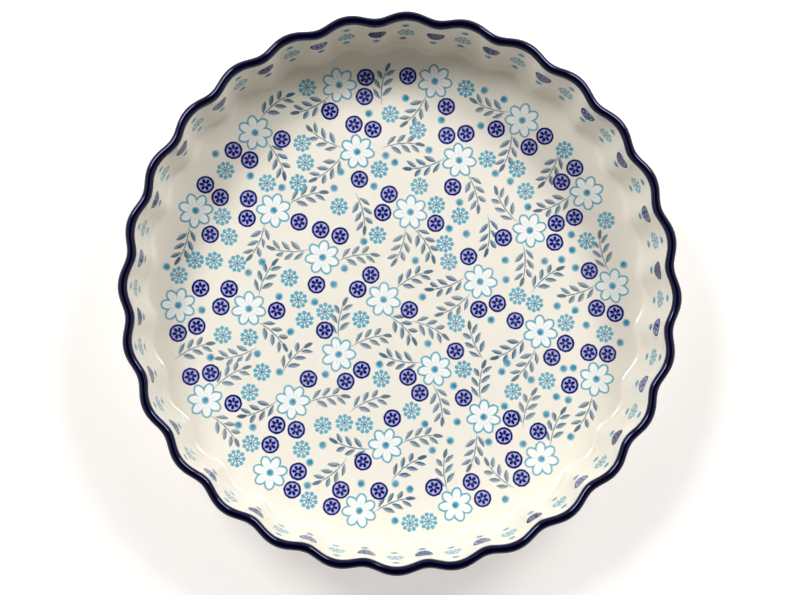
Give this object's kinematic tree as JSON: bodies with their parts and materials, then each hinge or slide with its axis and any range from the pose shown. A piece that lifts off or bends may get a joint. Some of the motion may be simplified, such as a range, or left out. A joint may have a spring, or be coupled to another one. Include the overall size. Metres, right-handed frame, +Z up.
{
  "type": "pie dish",
  "caption": "Round one-piece stoneware pie dish with a flat floor, a leaning fluted wall, a full-round lip and a low foot ring.",
  "frame": {"origin": "middle of the dish, on the plane its foot ring stands on", "axes": "+Z up out of the dish along its axis; +X through the crest of one flute"},
  "size_m": [0.2598, 0.2598, 0.045],
  "materials": {
    "cream_glaze": "clear gloss glaze over cream stoneware, stamped in blue and grey under the glaze, with a cobalt band on the lip and a bare foot ring"
  },
  "bodies": {
    "root": {"dish_body": "cream_glaze"}
  },
  "joints": []
}
